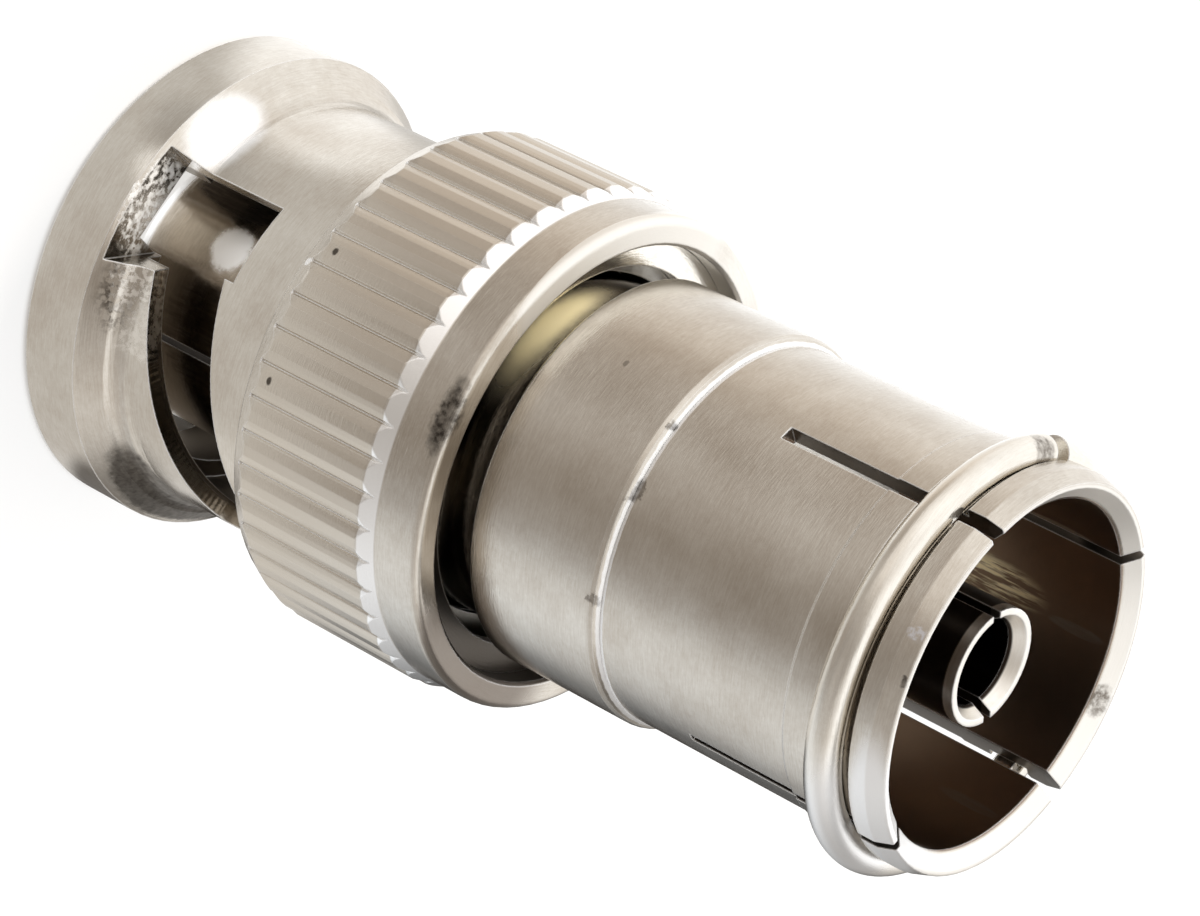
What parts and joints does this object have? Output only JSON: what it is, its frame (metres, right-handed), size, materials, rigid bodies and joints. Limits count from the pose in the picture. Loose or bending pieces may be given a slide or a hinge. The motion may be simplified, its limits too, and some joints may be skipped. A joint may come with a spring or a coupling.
{
  "type": "coaxial adapter",
  "caption": "Coaxial adapter with a bayonet coupling nut and contact pin at one end and a slotted 9.5 mm television socket at the other.",
  "frame": {"origin": "centre of the coupling nut's front ring, on which the part stands", "axes": "+Z along the connector's axis from the bayonet end to the socket mouth; -Y faces the side the picture shows"},
  "size_m": [0.0144, 0.0144, 0.0286],
  "materials": {
    "nickel_nut": "satin nickel plate on brass",
    "nickel_body": "turned nickel plate on brass",
    "nickel_bright": "bright nickel plate",
    "spring_steel": "rolled spring steel",
    "gasket_silicone": "matt silicone",
    "ptfe": "matt white fluoropolymer",
    "gold_plate": "thin gold plate"
  },
  "bodies": {
    "adapter_body": {"contact_sleeve": "nickel_bright", "sealing_gasket": "gasket_silicone", "plug_insulator": "ptfe", "centre_pin": "gold_plate", "main_body": "nickel_body", "socket_shell": "nickel_body", "socket_insulator": "ptfe", "socket_contact": "nickel_bright", "clip_ring": "nickel_bright"},
    "spring_stack": {"thrust_washer": "nickel_bright", "wave_washer_front": "spring_steel", "wave_washer_rear": "spring_steel"},
    "nut": {"coupling_nut": "nickel_nut", "retaining_ring": "nickel_bright"}
  },
  "joints": [
    {"name": "nut_turn", "type": "hinge", "parent": "adapter_body", "child": "spring_stack", "pos_m": [0, 0, 0.0114], "axis": [0, 0, 1], "continuous": true},
    {"name": "nut_pull", "type": "slide", "parent": "spring_stack", "child": "nut", "axis": [0, 0, -1], "range_m": [0, 0.0009], "stiffness_N_per_m": 9000, "deforming": ["wave_washer_front", "wave_washer_rear"]}
  ]
}
